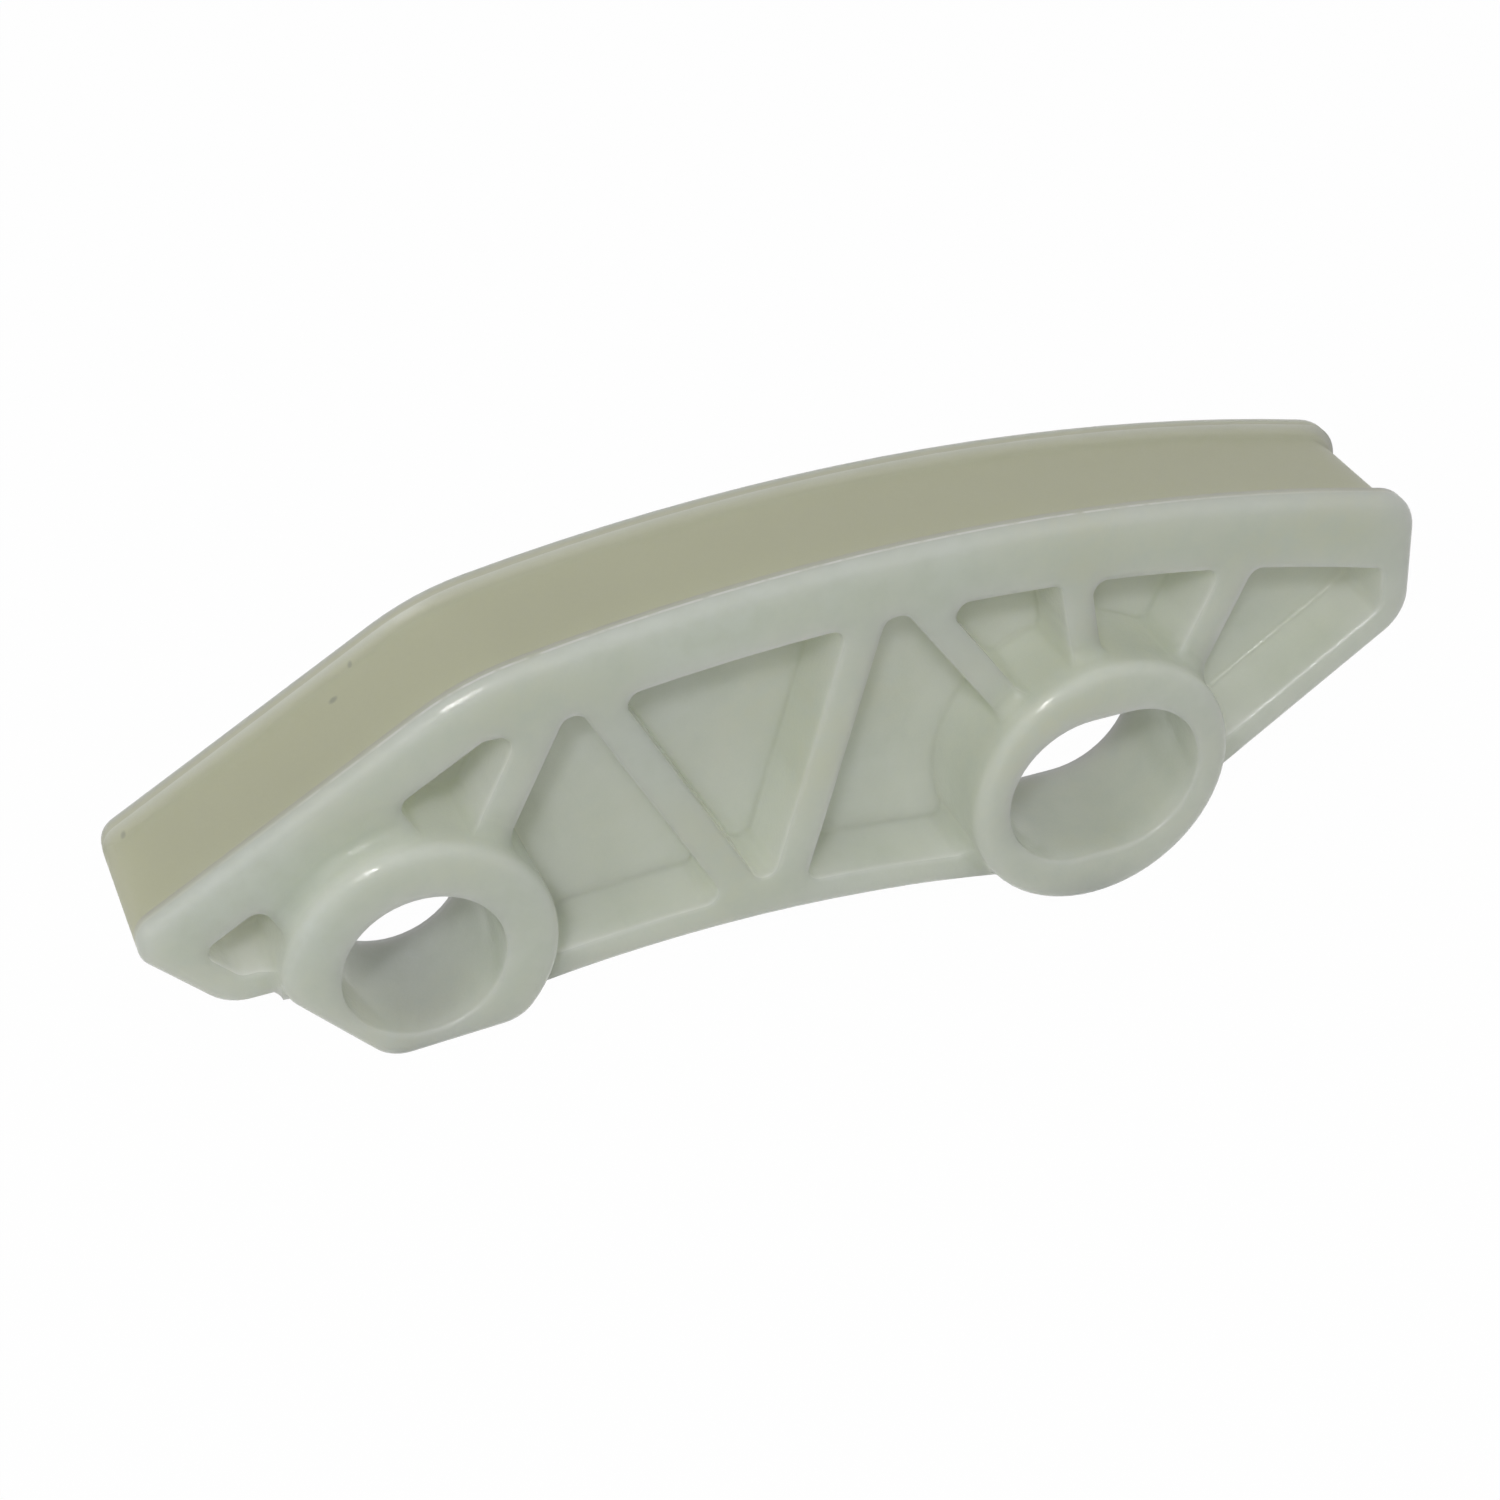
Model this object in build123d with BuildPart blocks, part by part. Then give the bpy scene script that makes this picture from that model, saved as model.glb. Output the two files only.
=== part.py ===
from build123d import *
from math import asin, atan2, cos, hypot, radians, sin, sqrt
import os

# One-piece moulded guide for the short chain that drives a balance shaft.
# Sizes are in millimetres and angles in degrees. X runs along the guide, Y from its
# mounting side to its far side, Z up towards the chain.
# The side view is drawn from the axis of the round bore, with the slotted bore level
# beside it, and then tipped until both bosses stand on a bench.

# The two bores
bore_spacing = 50.0
bore_radius = 5.65
slot_radius = 6.1
slot_travel = 2.8

# The bosses around them
round_boss_radius = 9.4
slot_boss_radius = 10.0
boss_length = 10.4
boss_rise = 2.4
boss_rim = 0.8
boss_root = 1.5

# The two flats that trim the round boss: distance from its axis, and direction
sole_distance = 7.3
sole_slope = 2.5
heel_distance = 7.05
heel_slope = 49.4
sole_corner = 3.0

# The track that the chain runs on, between its two lips
rail_width = 12.7
lip_width = 1.5
lip_height = 0.8
lip_foot = 0.5
ramp_angle = 29.5
ramp_height = 16.3
knee_radius = 19.7
crown_radius = 159.0
crown_peak = 34.0
crown_height = 21.75

# The toe, at the low end of the ramp
toe_end = -17.6
toe_corner = 1.8
toe_track_corner = 1.2
chin_slope = 47.6
chin_crossing = -13.9
chin_corner = 1.5
chin_round = 3.5
chin_height = -1.35
chin_blend = 3.0

# The nose, at the high end
nose_end = 75.0
nose_lean = 4.0
nose_corner = 3.5
nose_track_corner = 4.6
nose_round = 3.6
shin_slope = 34.0
shin_inset = 0.83

# The arched lower flange between the bosses
arch_peak = 21.5
arch_height = -5.85
arch_inset = 0.41

# Walls, web and ribs
edge_round = 0.9
flange = 2.5
web = 2.5
rib = 2.5
slim_rib = 2.1
pocket_corner = 1.0
boss_overlap = 0.05
seat_clearance = 0.6
ramp_wall = 4.0
ceiling_knee = 14.95
ceiling_radius = 138.0
ceiling_peak = 33.0
ceiling_height = 16.95

# Centre lines of the ribs, from inside the upper wall to inside a boss or the lower flange
rib_lines = [
    ((11.7, 19.0), (2.1, 0.0)),
    ((11.6, 19.5), (25.2, -6.5)),
    ((34.1, 23.0), (25.8, -6.5)),
    ((63.6, 21.0), (54.4, 0.0)),
]
slim_rib_lines = [
    ((34.4, 20.0), (48.5, 0.0)),
    ((46.9, 21.0), (51.1, 0.0)),
]
# The solid land between the round boss and the ramp
land_line = ((-7.4, 13.1), (0.0, 0.0))
land = 10.8

rail_back = boss_rise + rail_width
round_axis = (0, 0)
slot_axis = (bore_spacing, 0)
heel_direction = 270 - heel_slope
sole_direction = 270 + sole_slope
heel_line = 360 - heel_slope


def toward(distance, direction):
    # The point at this distance from the round bore's axis
    return (distance * cos(radians(direction)), distance * sin(radians(direction)))


def crossing(start, angle, other, other_angle):
    # Where two straight lines cross, each given by a point and an angle
    ux, uy = toward(1, angle)
    vx, vy = toward(1, other_angle)
    dx, dy = other[0] - start[0], other[1] - start[1]
    along = (dx * vy - dy * vx) / (ux * vy - uy * vx)
    return (start[0] + along * ux, start[1] + along * uy)


def leaves_circle(start, angle, centre, radius):
    # Where a line that starts inside a circle leaves it
    ux, uy = toward(1, angle)
    dx, dy = start[0] - centre[0], start[1] - centre[1]
    middle = dx * ux + dy * uy
    along = -middle + sqrt(middle**2 - dx**2 - dy**2 + radius**2)
    return (start[0] + along * ux, start[1] + along * uy)


def arc_height(x, peak, height, radius):
    # Height of an arched line above the line of bores
    return height - radius + sqrt(radius**2 - (x - peak) ** 2)


# Corners of the round boss
sole_foot = toward(sole_distance, sole_direction)
heel_foot = toward(heel_distance, heel_direction)
sole_end = leaves_circle(sole_foot, sole_slope, round_axis, round_boss_radius)
heel_end = leaves_circle(heel_foot, heel_line - 180, round_axis, round_boss_radius)
sole_tip = crossing(sole_foot, sole_slope, heel_foot, heel_line)

# The bench touches the rounded corner of the round boss and the slotted boss
inner_sole = toward(sole_distance - sole_corner, sole_direction)
inner_heel = toward(heel_distance - sole_corner, heel_direction)
tip_x, tip_y = crossing(inner_sole, sole_slope, inner_heel, heel_line)
reach = hypot(bore_spacing - tip_x, tip_y)
bench_tilt = asin((slot_boss_radius - sole_corner) / reach) - atan2(-tip_y, bore_spacing - tip_x)
side_view = Plane(origin=(0, 0, 0), x_dir=(cos(bench_tilt), 0, sin(bench_tilt)), z_dir=(0, -1, 0))


# The shin and the lower flange both run a little way inside the slotted boss
shin_line = (bore_spacing + (slot_boss_radius - shin_inset) / sin(radians(shin_slope)), 0)
arch_end_angle = 245.5
arch_reach = slot_boss_radius - arch_inset
arch_end_x = bore_spacing + arch_reach * cos(radians(arch_end_angle))
arch_end_y = arch_reach * sin(radians(arch_end_angle))
arch_rise = arch_height - arch_end_y
arch_radius = ((arch_end_x - arch_peak) ** 2 + arch_rise**2) / (2 * arch_rise)


def side_face(drop, toe_radius, nose_radius):
    # Side view of the guide with its track lowered by drop
    ramp_start = (0, ramp_height - drop / cos(radians(ramp_angle)))
    crown_centre = (crown_peak, crown_height - crown_radius)
    crown = (crown_peak, crown_height - drop, crown_radius - drop)
    arch = (arch_peak, arch_height, arch_radius)
    knee = leaves_circle(ramp_start, ramp_angle, crown_centre, crown_radius - drop)
    toe_top = crossing(ramp_start, ramp_angle, (toe_end, 0), 90)
    toe_bottom = crossing((chin_crossing, 0), -chin_slope, (toe_end, 0), 90)
    chin = crossing((chin_crossing, 0), -chin_slope, (0, chin_height), 0)
    throat = crossing(heel_foot, heel_line, (0, chin_height), 0)
    nose_peak = (nose_end, arc_height(nose_end, crown_peak, crown_height, crown_radius))
    nose_bottom = crossing(nose_peak, 90 + nose_lean, shin_line, shin_slope)
    nose_top = leaves_circle(nose_bottom, 90 + nose_lean, crown_centre, crown_radius - drop)
    middle_x = (knee[0] + nose_top[0]) / 2
    crown_middle = (middle_x, arc_height(middle_x, *crown))
    arch_start_x = round_boss_radius * cos(radians(40))
    arch_start = (arch_start_x, arc_height(arch_start_x, *arch))
    arch_middle = (arch_peak, arch_height)
    arch_end = (arch_end_x, arch_end_y)
    shin_start = crossing(shin_line, shin_slope, slot_axis, shin_slope - 80)
    with BuildSketch() as face:
        with BuildLine():
            Line(toe_top, knee)
            ThreePointArc(knee, crown_middle, nose_top)
            Polyline(nose_top, nose_bottom, shin_start, arch_end)
            ThreePointArc(arch_end, arch_middle, arch_start)
            Polyline(arch_start, toward(round_boss_radius * 0.7, -45), heel_foot, throat)
            Polyline(throat, chin, toe_bottom, toe_top)
        make_face()
        corners = [
            (knee, knee_radius - drop),
            (nose_top, nose_radius),
            (nose_bottom, nose_round),
            (throat, chin_blend),
            (chin, chin_round),
            (toe_bottom, chin_corner),
            (toe_top, toe_radius),
        ]
        for point, radius in corners:
            fillet(face.vertices().sort_by_distance((*point, 0))[0], radius)
    return face.sketch


lip_face = side_face(0, toe_corner, nose_corner)
track_face = side_face(lip_height, toe_track_corner, nose_track_corner)
foot_face = side_face(lip_height - lip_foot, toe_track_corner, nose_track_corner)

# Both bosses in side view
with BuildSketch() as boss_faces:
    with BuildLine():
        ThreePointArc(sole_end, (0, round_boss_radius), heel_end)
        Polyline(heel_end, sole_tip, sole_end)
    make_face()
    for point in (sole_end, sole_tip, heel_end):
        fillet(boss_faces.vertices().sort_by_distance((*point, 0))[0], sole_corner)
    with Locations(slot_axis):
        Circle(slot_boss_radius)

# Pockets on either side of the web, between the ribs
ceiling_ramp = (0, ramp_height - ramp_wall / cos(radians(ramp_angle)))
ceiling_foot = crossing(ceiling_ramp, ramp_angle, (2 * toe_end, 0), 90)
ceiling_low = crossing(ceiling_ramp, ramp_angle, (0, ceiling_knee), 0)
ceiling_centre = (ceiling_peak, ceiling_height - ceiling_radius)
ceiling_start = leaves_circle((ceiling_peak, ceiling_knee), 180, ceiling_centre, ceiling_radius)
ceiling_end = (nose_end, arc_height(nose_end, ceiling_peak, ceiling_height, ceiling_radius))
with BuildSketch() as pocket_faces:
    add(lip_face)
    offset(amount=-flange, kind=Kind.INTERSECTION, mode=Mode.REPLACE)
    with BuildLine():
        Polyline(ceiling_foot, ceiling_low, ceiling_start)
        ThreePointArc(ceiling_start, (ceiling_peak, ceiling_height), ceiling_end)
        Polyline(ceiling_end, (nose_end, 2 * toe_end), (2 * toe_end, 2 * toe_end), ceiling_foot)
    make_face(mode=Mode.INTERSECT)
    Circle(round_boss_radius - boss_overlap, mode=Mode.SUBTRACT)
    with Locations(slot_axis):
        Circle(slot_boss_radius - boss_overlap, mode=Mode.SUBTRACT)
    for lines, thickness in ((rib_lines, rib), (slim_rib_lines, slim_rib), ([land_line], land)):
        for top, bottom in lines:
            trace(Edge.make_line((*top, 0), (*bottom, 0)), line_width=thickness, mode=Mode.SUBTRACT)
    offset(amount=-pocket_corner, kind=Kind.INTERSECTION, mode=Mode.REPLACE)
    offset(amount=pocket_corner, mode=Mode.REPLACE)


def view_at(depth):
    # The side view's plane, this far behind the front of the bosses
    return side_view.offset(-depth)


# The tools that sink the pockets
pocket_depth = (rail_width - web) / 2
front_floor = boss_rise + pocket_depth
back_floor = front_floor + web
with BuildPart() as front_pockets:
    with BuildSketch(view_at(front_floor)):
        add(pocket_faces.sketch)
    extrude(amount=pocket_depth + boss_rise)
with BuildPart() as back_pockets:
    with BuildSketch(view_at(rail_back + boss_rise)):
        add(pocket_faces.sketch)
    extrude(amount=pocket_depth + boss_rise)

# The two bosses, with rounded rims at the front
with BuildPart() as bosses:
    with BuildSketch(view_at(boss_length)):
        add(boss_faces.sketch)
    extrude(amount=boss_length)
    fillet(bosses.faces().group_by(Axis.Y)[0].edges(), boss_rim)

# The blend from each boss to the front of the rail: a ring with a hollow corner, kept
# inside the rail's edges and cut off where a pocket runs up to the boss
root_overlap = 0.05
with BuildPart() as boss_blends:
    for axis, radius in ((round_axis, round_boss_radius), (slot_axis, slot_boss_radius)):
        centre = side_view.from_local_coords((*axis, 0))
        with BuildSketch(Plane(origin=centre, x_dir=side_view.x_dir, z_dir=side_view.y_dir)):
            with BuildLine():
                inner = radius - boss_root
                front = boss_rise - boss_root + root_overlap
                back = boss_rise + root_overlap
                outer = radius + boss_root - root_overlap
                CenterArc((outer, front), boss_root, 90, 90)
                Polyline((outer, back), (inner, back), (inner, front), (outer - boss_root, front))
            make_face()
        revolve(axis=Axis(centre, (0, 1, 0)))
    with BuildSketch(view_at(boss_rise + boss_root)):
        add(lip_face)
        offset(amount=-edge_round, mode=Mode.REPLACE)
    extrude(amount=boss_rise + boss_root, mode=Mode.INTERSECT)
    add(front_pockets.part, mode=Mode.SUBTRACT)

with BuildPart() as chain_guide:
    # The rail: a full-width core and the two lips that stand above its track
    with BuildSketch(view_at(rail_back)):
        add(track_face)
    extrude(amount=rail_width)
    with BuildSketch(view_at(rail_back), view_at(boss_rise + lip_width)):
        add(lip_face)
    extrude(amount=lip_width)
    # The hollow at the foot of each lip
    with BuildSketch(view_at(boss_rise + lip_width)):
        add(foot_face)
    extrude(amount=-lip_foot, taper=45)
    with BuildSketch(view_at(rail_back - lip_width)):
        add(foot_face)
    extrude(amount=lip_foot, taper=45)
    for side in (chain_guide.faces().sort_by(Axis.Y)[0], chain_guide.faces().sort_by(Axis.Y)[-1]):
        fillet(side.outer_wire().edges(), edge_round)

    # Room behind each boss for the head of its bolt
    with BuildSketch(view_at(rail_back + edge_round)):
        Circle(round_boss_radius + seat_clearance)
        with Locations(slot_axis):
            Circle(slot_boss_radius + seat_clearance)
    extrude(amount=rail_back + edge_round - boss_length, mode=Mode.SUBTRACT)

    # The pockets, then the bosses that close their inner ends
    add(front_pockets.part, mode=Mode.SUBTRACT)
    add(back_pockets.part, mode=Mode.SUBTRACT)
    add(bosses.part)
    add(boss_blends.part)

    # The round bore and the slotted one
    with BuildSketch(view_at(rail_back)):
        Circle(bore_radius)
        with Locations(slot_axis):
            SlotCenterToCenter(slot_travel, 2 * slot_radius)
    extrude(amount=rail_back + boss_rise, mode=Mode.SUBTRACT)

chain_guide.part.label = "chain_guide"
os.makedirs("parts", exist_ok=True)
export_step(chain_guide.part, "parts/chain_guide.step")
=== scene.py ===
import bpy
from math import radians
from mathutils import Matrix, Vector


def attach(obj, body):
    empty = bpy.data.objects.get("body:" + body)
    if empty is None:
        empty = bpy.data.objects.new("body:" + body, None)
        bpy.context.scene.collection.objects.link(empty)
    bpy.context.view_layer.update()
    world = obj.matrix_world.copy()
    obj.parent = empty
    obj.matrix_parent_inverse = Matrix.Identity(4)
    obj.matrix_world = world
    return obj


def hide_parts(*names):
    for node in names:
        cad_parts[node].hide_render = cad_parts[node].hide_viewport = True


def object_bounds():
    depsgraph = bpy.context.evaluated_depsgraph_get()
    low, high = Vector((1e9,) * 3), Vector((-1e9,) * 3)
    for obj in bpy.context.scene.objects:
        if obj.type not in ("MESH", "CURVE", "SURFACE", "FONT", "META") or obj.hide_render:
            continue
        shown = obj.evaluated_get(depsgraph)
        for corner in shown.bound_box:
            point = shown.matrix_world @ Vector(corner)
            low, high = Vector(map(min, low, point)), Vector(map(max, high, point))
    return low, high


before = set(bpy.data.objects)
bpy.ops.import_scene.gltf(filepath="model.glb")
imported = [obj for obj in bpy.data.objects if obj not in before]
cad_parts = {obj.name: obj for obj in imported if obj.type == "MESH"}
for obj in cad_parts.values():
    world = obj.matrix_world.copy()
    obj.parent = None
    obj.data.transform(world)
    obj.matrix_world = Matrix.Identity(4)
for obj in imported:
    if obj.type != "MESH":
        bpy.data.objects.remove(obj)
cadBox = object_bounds()
mm = 0.001
print("frame loaded")


def colour(hexCode):
    # an sRGB hex value as the linear colour that the shaders want
    parts = [int(hexCode[i:i + 2], 16) / 255 for i in (1, 3, 5)]
    return [p / 12.92 if p <= 0.04045 else ((p + 0.055) / 1.055) ** 2.4 for p in parts] + [1]


def addNode(tree, kind, links=(), **settings):
    # one node: settings are its own fields, links fills its sockets in order or by name,
    # each with a value or with another node's socket
    node = tree.nodes.new(kind)
    for name, value in settings.items():
        setattr(node, name, value)
    named = links if isinstance(links, dict) else dict(enumerate(links))
    for socket, source in named.items():
        if isinstance(source, bpy.types.NodeSocket):
            tree.links.new(source, node.inputs[socket])
        else:
            node.inputs[socket].default_value = source
    return node


# Natural polyamide 66, injection moulded, uncoloured. To the eye it is milky and slightly
# see-through: light goes a few millimetres in, so edges glow, hollows stay soft, thick parts
# turn yellow, and the skin off the tool has a soft gloss with a faint ripple.
polyamide = {
    "skin": "#C8CFC4",
    "thick": "#C4C5A9",
    "mottle": "#C3CABD",
    "speck": "#7A7C74",
    # pale colour of the painted highlight on the near lip's crest
    "crestHighlight": "#FAFBF6",
    # the paler colour painted into hollows as the light that reaches them
    "hollow": "#EDF1E4",
    "hollowReach": 6.5 * mm,   # walls nearer than this make a place a hollow
    "hollowSamples": 4,
    "depth": 9.0 * mm,   # how far light spreads inside
    "depthTint": (1.0, 0.99, 0.88),
    "ior": 1.53,
    "specular": 0.30,
    "roughness": (0.43, 0.56),   # it changes with the mottle
    "sheen": 0.65,   # the glossier outermost skin, which gives thin glints on the edges
    "trackSheen": 0.15,   # the chain has dulled the track
    "sheenRoughness": 0.10,
    # slow change of tone from the flow of the melt: noise from, to, least and most share
    "cloudWidth": 14 * mm,
    "cloudDetail": 2.0,
    "cloudRange": (0.35, 0.7, 0.0, 0.45),
    "mottleWidth": 1.6 * mm,   # and a fine mottle
    "mottleDetail": 3.0,
    "mottleRange": (0.4, 0.75),
    "rippleWidth": 2.4 * mm,   # waviness of the moulded skin
    "rippleDetail": 1.0,
    "rippleHeight": 0.05 * mm,
    "rippleStrength": 0.5,
    "grainWidth": 0.35 * mm,   # spark-eroded tool texture, drawn coarse enough to show
    "grainDetail": 2.0,
    "grainHeight": 0.012 * mm,
    "grainStrength": 0.7,
    "glintHeight": 0.03 * mm,   # the same grain, deeper under the gloss, breaks up the glints
    "glintStrength": 1.0,
    "edgeRound": 0.75 * mm,   # small rounding of every edge and corner
    "edgeSamples": 8,
    "bossRound": 1.0 * mm,   # a little more at the rims and roots of the bosses
    "bossDepth": (6.0 * mm, 4.2 * mm),   # it comes in between these depths
    # each boss's axis in the side view, and how far from it that rounding starts and ends
    "bosses": [(0, 0, 7.0 * mm, 12.0 * mm), (49.935 * mm, 2.551 * mm, 8.2 * mm, 12.6 * mm)],
    "bossRise": 1.0 * mm,
    "bossFall": 2.0 * mm,
    "blendInset": 1.2 * mm,   # the blend at a boss's foot lies this far inside that end
    "blendHalf": (0.8 * mm, 1.6 * mm),   # no gloss this near to it, and full gloss this far off
    "crest": (3.1 * mm, 3.9 * mm),   # over the near lip, where the track's tone comes in
    "farCrest": (14.7 * mm, 13.9 * mm),   # and over the far lip
    "rampRise": 0.635,   # a line and an arc 1.6 mm under the track part it from all below
    "rampFoot": 13.96 * mm,
    "crownCentre": (40.96 * mm, 0, -135.34 * mm),
    "crownFoot": 156.6 * mm,
    "linePlace": 3.35 * mm,   # painted highlight along the near lip's crest: full to the first half width
    "lineHalf": (0.048 * mm, 0.16 * mm),
    "lineShare": 0.55,
    "lineBreaks": (0.3, 0.5),   # the mottle breaks it up
    "lineEnds": [(-10 * mm, 2 * mm), (66 * mm, 44 * mm)],   # where it is faint, and where full
    "lineEndShare": 0.2,
    # small dark marks on the track: place in plan, and radius
    "specks": [
        (-2.4 * mm, 11.3 * mm, 0.36 * mm),
        (-0.7 * mm, 13.2 * mm, 0.20 * mm),
        (-16.5 * mm, 13.2 * mm, 0.22 * mm),
    ],
    "speckCore": 0.4,
    "speckShare": 0.5,
}


def findTrack(tree, p, spot, side):
    # above is 1 over the line and the arc, and onTrack is that between the crests of the lips
    ramp = [spot["X"], p["rampRise"], p["rampFoot"]]
    line = addNode(tree, "ShaderNodeMath", ramp, operation="MULTIPLY_ADD").outputs[0]
    overRamp = addNode(tree, "ShaderNodeMath", [spot["Z"], line], operation="GREATER_THAN")
    reach = addNode(tree, "ShaderNodeVectorMath", [side, p["crownCentre"]], operation="DISTANCE")
    crown = [reach.outputs["Value"], p["crownFoot"]]
    overCrown = addNode(tree, "ShaderNodeMath", crown, operation="GREATER_THAN")
    either = [overRamp.outputs[0], overCrown.outputs[0]]
    above = addNode(tree, "ShaderNodeMath", either, operation="MAXIMUM").outputs[0]
    behind = addNode(tree, "ShaderNodeMapRange", [spot["Y"], *p["crest"]]).outputs[0]
    onTrack = addNode(tree, "ShaderNodeMath", [behind, above], operation="MULTIPLY").outputs[0]
    before = addNode(tree, "ShaderNodeMapRange", [spot["Y"], *p["farCrest"]]).outputs[0]
    onTrack = addNode(tree, "ShaderNodeMath", [onTrack, before], operation="MULTIPLY").outputs[0]
    return above, onTrack


def paintedCrestHighlight(tree, p, spot, above, mottle):
    # a painted highlight: a thin broken bright line along the crest of the near lip, where its
    # edge catches the light
    off = addNode(tree, "ShaderNodeMath", [spot["Y"], p["linePlace"]], operation="SUBTRACT")
    off = addNode(tree, "ShaderNodeMath", [off.outputs[0]], operation="ABSOLUTE").outputs[0]
    width = [off, *p["lineHalf"], p["lineShare"], 0.0]
    share = addNode(tree, "ShaderNodeMapRange", width).outputs[0]
    share = addNode(tree, "ShaderNodeMath", [share, above], operation="MULTIPLY").outputs[0]
    breaks = addNode(tree, "ShaderNodeMapRange", [mottle, *p["lineBreaks"]]).outputs[0]
    share = addNode(tree, "ShaderNodeMath", [share, breaks], operation="MULTIPLY").outputs[0]
    for faint, full in p["lineEnds"]:
        fade = [spot["X"], faint, full, p["lineEndShare"]]
        fade = addNode(tree, "ShaderNodeMapRange", fade).outputs[0]
        share = addNode(tree, "ShaderNodeMath", [share, fade], operation="MULTIPLY").outputs[0]
    return share


def darkSpecks(tree, p, place, onTrack):
    flat = (1, 1, 0)
    plan = addNode(tree, "ShaderNodeVectorMath", [place, flat], operation="MULTIPLY").outputs[0]
    marks = []
    for x, y, radius in p["specks"]:
        away = addNode(tree, "ShaderNodeVectorMath", [plan, (x, y, 0)], operation="DISTANCE")
        dot = [away.outputs["Value"], radius, p["speckCore"] * radius, 0.0, p["speckShare"]]
        mark = addNode(tree, "ShaderNodeMapRange", dot).outputs[0]
        mark = addNode(tree, "ShaderNodeMath", [mark, onTrack], operation="MULTIPLY").outputs[0]
        marks.append(mark)
    return marks


def skinTone(tree, p, place, spot, above, onTrack, noise):
    # the colour is built up from the bare skin, one layer over another
    clouds = addNode(tree, "ShaderNodeMapRange", [noise["cloud"], *p["cloudRange"]]).outputs[0]
    mottle = addNode(tree, "ShaderNodeMapRange", [noise["mottle"], *p["mottleRange"]]).outputs[0]
    # the running track lies over the thickest plastic, so it is yellower
    layers = [(clouds, "thick"), (mottle, "mottle"), (onTrack, "thick")]
    layers += [(mark, "speck") for mark in darkSpecks(tree, p, place, onTrack)]
    # last, the painted highlight along the near lip's crest
    layers.append((paintedCrestHighlight(tree, p, spot, above, noise["mottle"]), "crestHighlight"))
    tone = colour(p["skin"])
    for share, finish in layers:
        blend = {"Factor": share, 6: tone, 7: colour(p[finish])}
        tone = addNode(tree, "ShaderNodeMix", blend, data_type="RGBA").outputs[2]

    # painted light: hollows are painted paler where walls are near, in place of the light that
    # comes through the thin web and ribs
    free = addNode(tree, "ShaderNodeAmbientOcclusion", {
        "Distance": p["hollowReach"],
    }, samples=p["hollowSamples"], only_local=True).outputs["AO"]
    blend = {"Factor": free, 6: colour(p["hollow"]), 7: tone}
    return addNode(tree, "ShaderNodeMix", blend, data_type="RGBA").outputs[2]


def aroundBosses(tree, p, spot, side, onTrack):
    # how round the edges are and how glossy the skin is, which both change by the bosses
    rounding = p["edgeRound"]
    extra = p["bossRound"] - p["edgeRound"]
    dulled = {"Value": onTrack, "To Min": p["sheen"], "To Max": p["trackSheen"]}
    sheen = addNode(tree, "ShaderNodeMapRange", dulled).outputs[0]
    front = addNode(tree, "ShaderNodeMapRange", [spot["Y"], *p["bossDepth"]]).outputs[0]
    for x, z, inner, outer in p["bosses"]:
        away = addNode(tree, "ShaderNodeVectorMath", [side, (x, 0, z)], operation="DISTANCE")
        away = away.outputs["Value"]
        rise = addNode(tree, "ShaderNodeMapRange", [away, inner, inner + p["bossRise"]])
        fall = addNode(tree, "ShaderNodeMapRange", [away, outer + p["bossFall"], outer])
        ring = [rise.outputs[0], fall.outputs[0]]
        share = addNode(tree, "ShaderNodeMath", ring, operation="MULTIPLY").outputs[0]
        share = addNode(tree, "ShaderNodeMath", [share, front], operation="MULTIPLY").outputs[0]
        grown = [share, extra, rounding]
        rounding = addNode(tree, "ShaderNodeMath", grown, operation="MULTIPLY_ADD").outputs[0]
        foot = [away, outer - p["blendInset"]]
        foot = addNode(tree, "ShaderNodeMath", foot, operation="SUBTRACT").outputs[0]
        foot = addNode(tree, "ShaderNodeMath", [foot], operation="ABSOLUTE").outputs[0]
        gloss = addNode(tree, "ShaderNodeMapRange", [foot, *p["blendHalf"]]).outputs[0]
        sheen = addNode(tree, "ShaderNodeMath", [sheen, gloss], operation="MULTIPLY").outputs[0]
    return rounding, sheen


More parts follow.
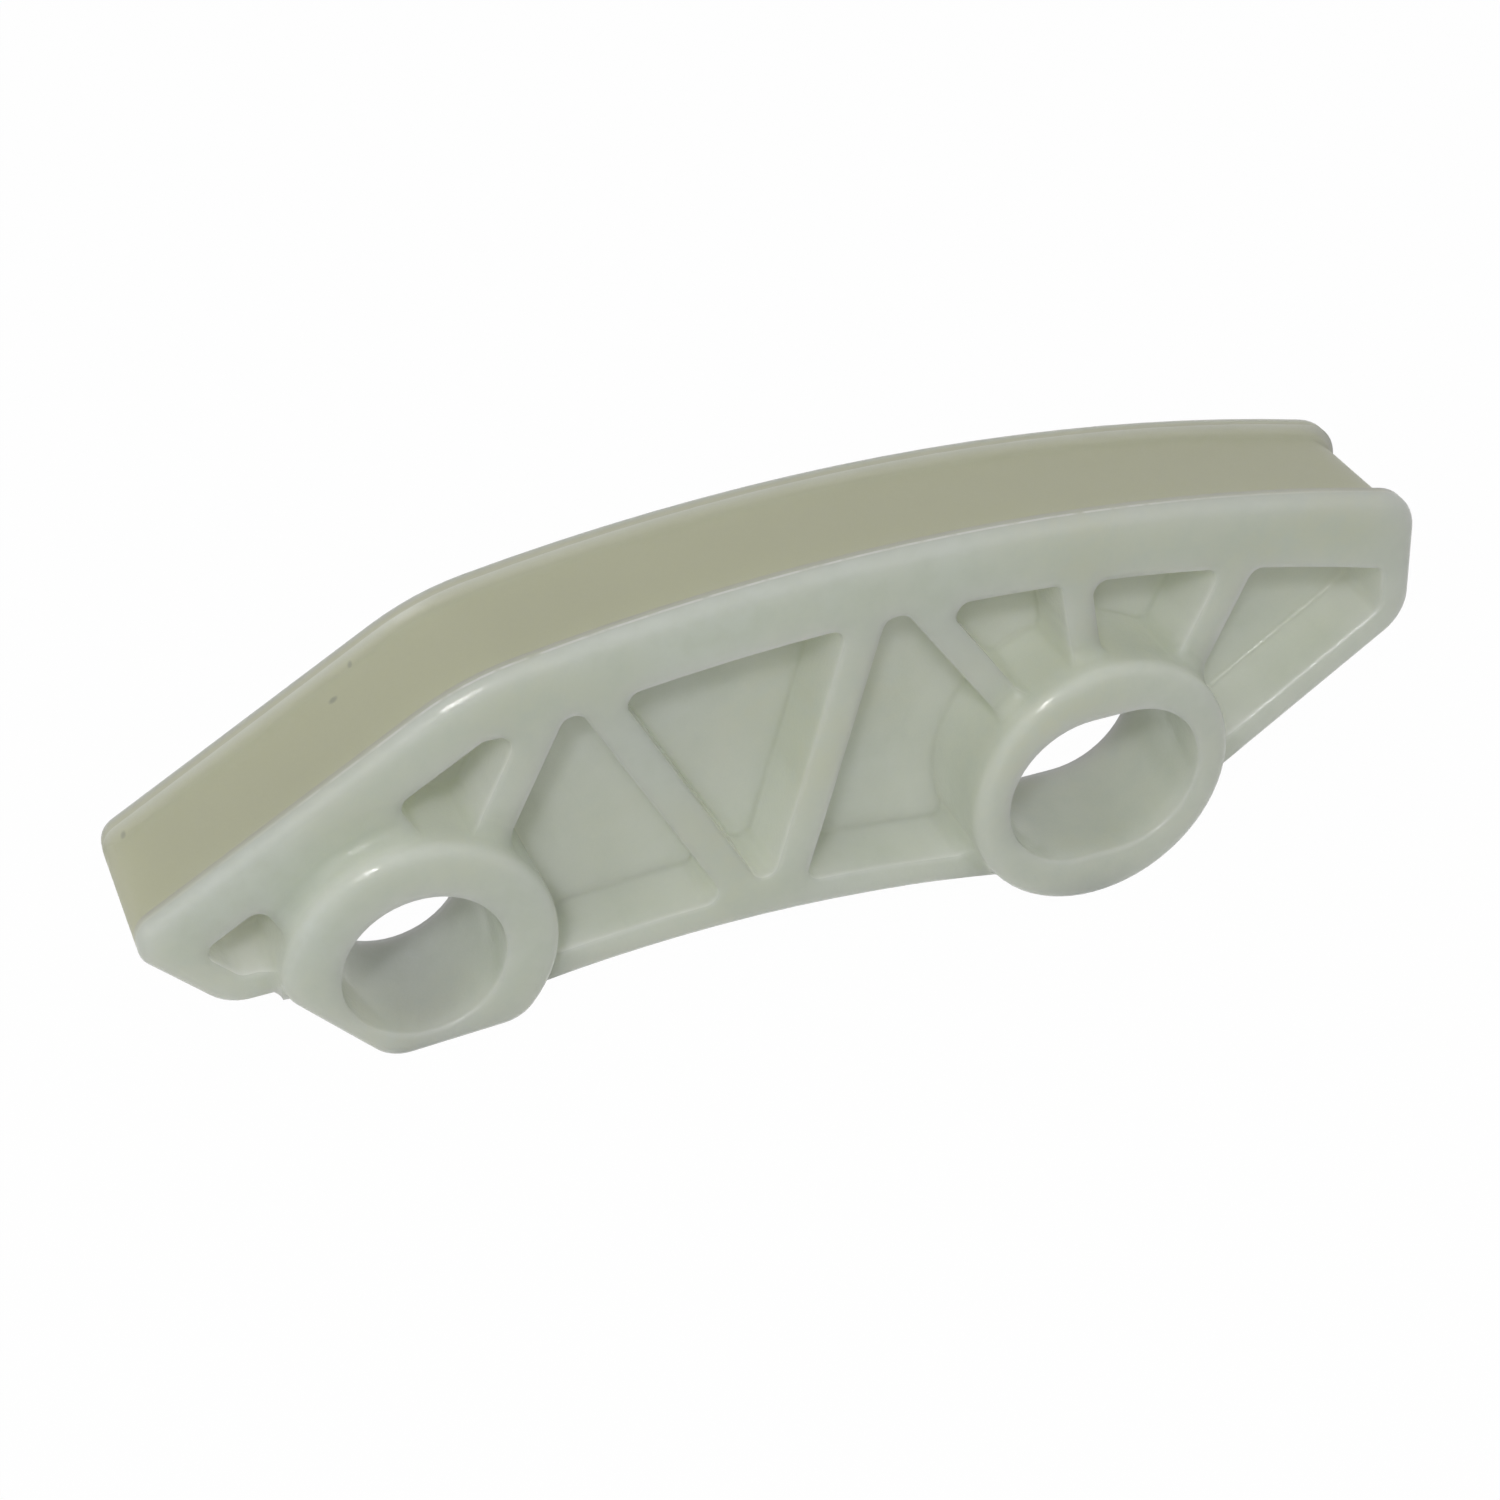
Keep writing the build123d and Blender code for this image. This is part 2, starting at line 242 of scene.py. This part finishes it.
def makePolyamide(p):
    material = bpy.data.materials.new("natural_polyamide_injection_moulded")
    material.use_nodes = True
    tree = material.node_tree
    tree.nodes.clear()
    place = addNode(tree, "ShaderNodeTexCoord").outputs["Object"]
    spot = addNode(tree, "ShaderNodeSeparateXYZ", [place]).outputs
    flat = (1, 0, 1)
    side = addNode(tree, "ShaderNodeVectorMath", [place, flat], operation="MULTIPLY").outputs[0]
    noise = {}
    for name in ("cloud", "mottle", "ripple", "grain"):
        noise[name] = addNode(tree, "ShaderNodeTexNoise", {
            "Vector": place, "Scale": 1 / p[name + "Width"], "Detail": p[name + "Detail"],
        }).outputs["Fac"]
    above, onTrack = findTrack(tree, p, spot, side)
    tone = skinTone(tree, p, place, spot, above, onTrack, noise)
    rounding, sheen = aroundBosses(tree, p, spot, side, onTrack)

    # ripple and grain of the skin, on edges that are rounded a little
    soft = addNode(tree, "ShaderNodeBevel", {"Radius": rounding}, samples=p["edgeSamples"])
    waves = addNode(tree, "ShaderNodeBump", {
        "Height": noise["ripple"], "Distance": p["rippleHeight"],
        "Strength": p["rippleStrength"], "Normal": soft.outputs[0],
    }).outputs[0]
    relief, sparkle = [addNode(tree, "ShaderNodeBump", {
        "Height": noise["grain"], "Distance": p[name + "Height"],
        "Strength": p[name + "Strength"], "Normal": waves,
    }).outputs[0] for name in ("grain", "glint")]
    leastRough, mostRough = p["roughness"]
    rough = {"Value": noise["mottle"], "To Min": leastRough, "To Max": mostRough}

    shader = addNode(tree, "ShaderNodeBsdfPrincipled", {
        "Base Color": tone,
        "Roughness": addNode(tree, "ShaderNodeMapRange", rough).outputs[0],
        "IOR": p["ior"],
        "Normal": relief,
        "Specular IOR Level": p["specular"],
        "Coat Weight": sheen,
        "Coat Roughness": p["sheenRoughness"],
        "Coat Normal": sparkle,
        "Subsurface Weight": 1.0,
        "Subsurface Radius": p["depthTint"],
        "Subsurface Scale": p["depth"],
    }, subsurface_method="RANDOM_WALK")
    addNode(tree, "ShaderNodeOutputMaterial", {"Surface": shader.outputs[0]})
    return material


# The moulding itself: the CAD solid's surface, welded and shaded as the one smooth skin it has
moulding = {
    "weldDistance": 0.002 * mm,
    "creaseAngle": radians(50),
    "flatWeight": 50,   # large flat faces keep their own shading
}


def makeSkinTree(material):
    tree = bpy.data.node_groups.new("mouldedSkin", "GeometryNodeTree")
    tree.interface.new_socket("Geometry", in_out="INPUT", socket_type="NodeSocketGeometry")
    for name in ("Weld Distance", "Crease Angle"):
        tree.interface.new_socket(name, in_out="INPUT", socket_type="NodeSocketFloat")
    tree.interface.new_socket("Geometry", in_out="OUTPUT", socket_type="NodeSocketGeometry")
    given = addNode(tree, "NodeGroupInput").outputs
    welded = addNode(tree, "GeometryNodeMergeByDistance", {
        "Geometry": given["Geometry"], "Distance": given["Weld Distance"],
    })
    bend = addNode(tree, "GeometryNodeInputMeshEdgeAngle").outputs["Unsigned Angle"]
    soft = addNode(tree, "FunctionNodeCompare", [
        bend, given["Crease Angle"],
    ], data_type="FLOAT", operation="LESS_EQUAL")
    smooth = addNode(tree, "GeometryNodeSetShadeSmooth", {
        "Geometry": welded.outputs[0], "Shade Smooth": True,
    }, domain="FACE")
    creased = addNode(tree, "GeometryNodeSetShadeSmooth", {
        "Geometry": smooth.outputs[0], "Shade Smooth": soft.outputs[0],
    }, domain="EDGE")
    real = addNode(tree, "GeometryNodeRealizeInstances", {"Geometry": creased.outputs[0]})
    dressed = addNode(tree, "GeometryNodeSetMaterial", {
        "Geometry": real.outputs[0], "Material": material,
    })
    addNode(tree, "NodeGroupOutput", {"Geometry": dressed.outputs[0]})
    return tree


def makeMoulding(m, material):
    tree = makeSkinTree(material)
    blank = bpy.data.objects.new("blank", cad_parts["chain_guide"].data.copy())
    bpy.context.scene.collection.objects.link(blank)
    skin = blank.modifiers.new("skin", "NODES")
    skin.node_group = tree
    sockets = {s.name: s.identifier for s in tree.interface.items_tree if s.in_out == "INPUT"}
    skin[sockets["Weld Distance"]] = m["weldDistance"]
    skin[sockets["Crease Angle"]] = m["creaseAngle"]
    flat = blank.modifiers.new("flatFacesStayFlat", "WEIGHTED_NORMAL")
    flat.keep_sharp = True
    flat.weight = m["flatWeight"]
    seen = blank.evaluated_get(bpy.context.evaluated_depsgraph_get())
    mesh = bpy.data.meshes.new_from_object(seen)
    bpy.data.objects.remove(blank)
    piece = bpy.data.objects.new("mouldedGuide", mesh)
    bpy.context.scene.collection.objects.link(piece)
    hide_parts("chain_guide")
    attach(piece, "root")
    print("moulding", len(mesh.polygons), "faces")


makeMoulding(moulding, makePolyamide(polyamide))

# Pale studio, white to the camera and in reflections
studio = {
    "floorSize": 1.6,   # from the middle to each side
    "floorDrop": 0.02 * mm,   # so that the lowest faces stay clear of it
    "floorColour": "#F4F4F2",
    "floorGlow": 0.985,   # a little less than white keeps a breath of shadow
    "white": "#FFFFFF",
    "worldStrength": 0.25,
    "keyPlace": (-0.17, -0.33, 0.36),
    "keySize": (0.05, 0.05),
    "keyPower": 1.10,
    "fillPlace": (-0.06, 0.02, 0.50),
    "fillSize": (0.16, 0.60),
    "fillPower": 0.14,
    "aim": (0.028, 0.006, 0.008),
}


def backgroundRays(tree):
    # 1 for rays that show the background: straight, by reflection or through glass
    ray = addNode(tree, "ShaderNodeLightPath").outputs
    seen = ray["Is Camera Ray"]
    for kind in ("Is Glossy Ray", "Is Transmission Ray"):
        seen = addNode(tree, "ShaderNodeMath", [seen, ray[kind]], operation="MAXIMUM").outputs[0]
    return seen


def makeFloor(s):
    # matt white studio paper: to the eye one even white, with the object's soft shadow on it
    material = bpy.data.materials.new("matt_white_studio_paper")
    material.use_nodes = True
    tree = material.node_tree
    tree.nodes.clear()
    paper = addNode(tree, "ShaderNodeBsdfDiffuse", {"Color": colour(s["floorColour"])})
    glow = addNode(tree, "ShaderNodeEmission", {"Color": colour(s["white"]), "Strength": 1.0})
    share = [backgroundRays(tree), s["floorGlow"]]
    share = addNode(tree, "ShaderNodeMath", share, operation="MULTIPLY").outputs[0]
    mix = addNode(tree, "ShaderNodeMixShader", [share, paper.outputs[0], glow.outputs[0]])
    addNode(tree, "ShaderNodeOutputMaterial", {"Surface": mix.outputs[0]})

    low = cadBox[0].z - s["floorDrop"]
    half = s["floorSize"]
    corners = [(-half, -half, low), (half, -half, low), (half, half, low), (-half, half, low)]
    mesh = bpy.data.meshes.new("studioFloor")
    mesh.from_pydata(corners, [], [(0, 1, 2, 3)])
    mesh.materials.append(material)
    floor = bpy.data.objects.new("studioFloor", mesh)
    bpy.context.scene.collection.objects.link(floor)


def makeWorld(s):
    world = bpy.data.worlds.new("studioWorld")
    bpy.context.scene.world = world
    world.use_nodes = True
    tree = world.node_tree
    tree.nodes.clear()
    room, plain = [addNode(tree, "ShaderNodeBackground", {
        "Color": colour(s["white"]), "Strength": strength,
    }).outputs[0] for strength in (s["worldStrength"], 1.0)]
    mix = addNode(tree, "ShaderNodeMixShader", [backgroundRays(tree), room, plain])
    addNode(tree, "ShaderNodeOutputWorld", {"Surface": mix.outputs[0]})


def makeLamps(s):
    for name in ("key", "fill"):
        lamp = bpy.data.lights.new(name + "Softbox", "AREA")
        lamp.shape = "ELLIPSE"
        lamp.size, lamp.size_y = s[name + "Size"]
        lamp.energy = s[name + "Power"]
        stand = bpy.data.objects.new(name + "Softbox", lamp)
        stand.location = s[name + "Place"]
        reach = Vector(s["aim"]) - stand.location
        stand.rotation_euler = reach.to_track_quat("-Z", "Y").to_euler()
        bpy.context.scene.collection.objects.link(stand)


makeFloor(studio)
makeWorld(studio)
makeLamps(studio)
print("studio ready")

# The camera where the photograph was taken from, worked out from the bores and the rail
view = {
    "place": (-36.735 * mm, -135.27 * mm, 116.738 * mm),
    "turn": (54.652, -2.078, -22.140),
    "lens": 66.384,
    "sensor": 36.0,
    "nearest": 5 * mm,
    "farthest": 10.0,
}
camera = bpy.data.objects.new("camera", bpy.data.cameras.new("camera"))
camera.data.lens = view["lens"]
camera.data.sensor_width = view["sensor"]
camera.data.clip_start = view["nearest"]
camera.data.clip_end = view["farthest"]
camera.location = view["place"]
camera.rotation_euler = [radians(a) for a in view["turn"]]
bpy.context.scene.collection.objects.link(camera)
bpy.context.scene.camera = camera
bpy.context.scene.view_settings.view_transform = "Standard"
